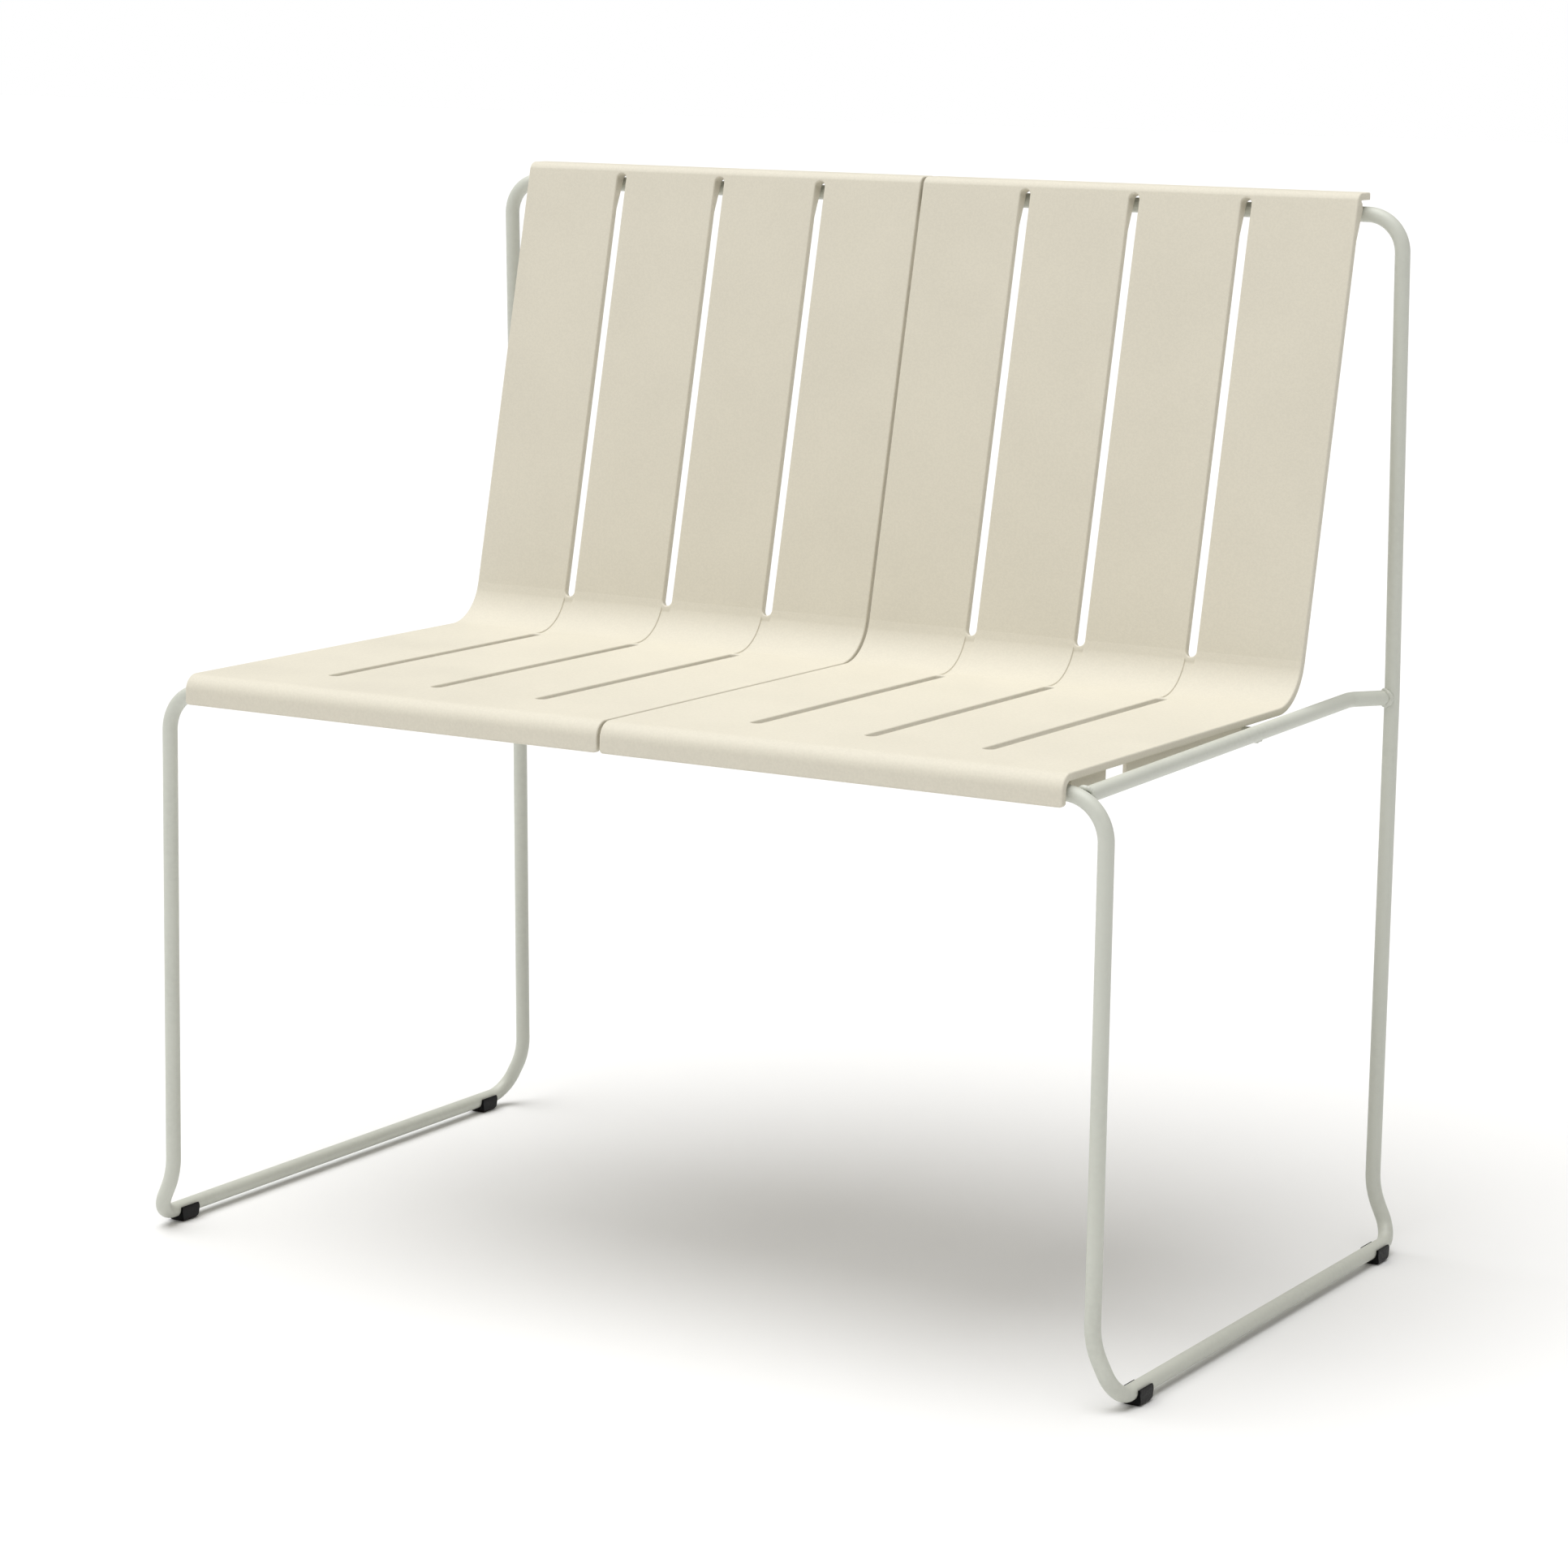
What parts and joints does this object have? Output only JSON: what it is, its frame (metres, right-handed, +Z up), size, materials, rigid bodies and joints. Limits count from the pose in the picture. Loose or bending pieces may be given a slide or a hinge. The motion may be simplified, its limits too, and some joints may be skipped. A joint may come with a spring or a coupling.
{
  "type": "garden bench",
  "caption": "Low two-seat garden bench: slatted one-piece plastic shells for seat and back, hooked over a bent steel rod frame with sled runners and clip-on glides.",
  "frame": {"origin": "on the ground, midway between the sides and midway between the lip's front face and the uprights' rear face", "axes": "+X to the sitter's left seen from the front (to the right in a front view), +Y to the back, +Z up"},
  "size_m": [0.8798, 0.5207, 0.8463],
  "materials": {
    "shell_plastic": "fine moulded grain, matt, cream",
    "frame_coating": "powder coat, satin, off-white",
    "glide_plastic": "black moulded plastic, satin",
    "clip_plastic": "moulded plastic, matt, cream",
    "screw_steel": "stainless steel"
  },
  "bodies": {
    "root": {"cross_clip_left_1": "clip_plastic", "cross_clip_left_4": "clip_plastic", "cross_clip_right_1": "clip_plastic", "cross_clip_right_4": "clip_plastic", "cross_screw_left_1a": "screw_steel", "cross_screw_left_1b": "screw_steel", "cross_screw_left_4a": "screw_steel", "cross_screw_left_4b": "screw_steel", "cross_screw_right_1a": "screw_steel", "cross_screw_right_1b": "screw_steel", "cross_screw_right_4a": "screw_steel", "cross_screw_right_4b": "screw_steel", "front_clip_left_1": "clip_plastic", "front_clip_left_4": "clip_plastic", "front_clip_right_1": "clip_plastic", "front_clip_right_4": "clip_plastic", "front_hoop": "frame_coating", "front_screw_left_1a": "screw_steel", "front_screw_left_4a": "screw_steel", "front_screw_right_1a": "screw_steel", "front_screw_right_4a": "screw_steel", "glide_front_left": "glide_plastic", "glide_front_right": "glide_plastic", "glide_rear_left": "glide_plastic", "glide_rear_right": "glide_plastic", "rear_cross_rail": "frame_coating", "rear_hoop": "frame_coating", "shell_left": "shell_plastic", "shell_right": "shell_plastic", "side_rail_left": "frame_coating", "side_rail_right": "frame_coating", "top_clip_left_1": "clip_plastic", "top_clip_left_4": "clip_plastic", "top_clip_right_1": "clip_plastic", "top_clip_right_4": "clip_plastic", "top_screw_left_1a": "screw_steel", "top_screw_left_4a": "screw_steel", "top_screw_right_1a": "screw_steel", "top_screw_right_4a": "screw_steel", "weld_cross_left": "frame_coating", "weld_cross_right": "frame_coating", "weld_front_left": "frame_coating", "weld_front_right": "frame_coating", "weld_rear_left": "frame_coating", "weld_rear_right": "frame_coating"}
  },
  "joints": []
}
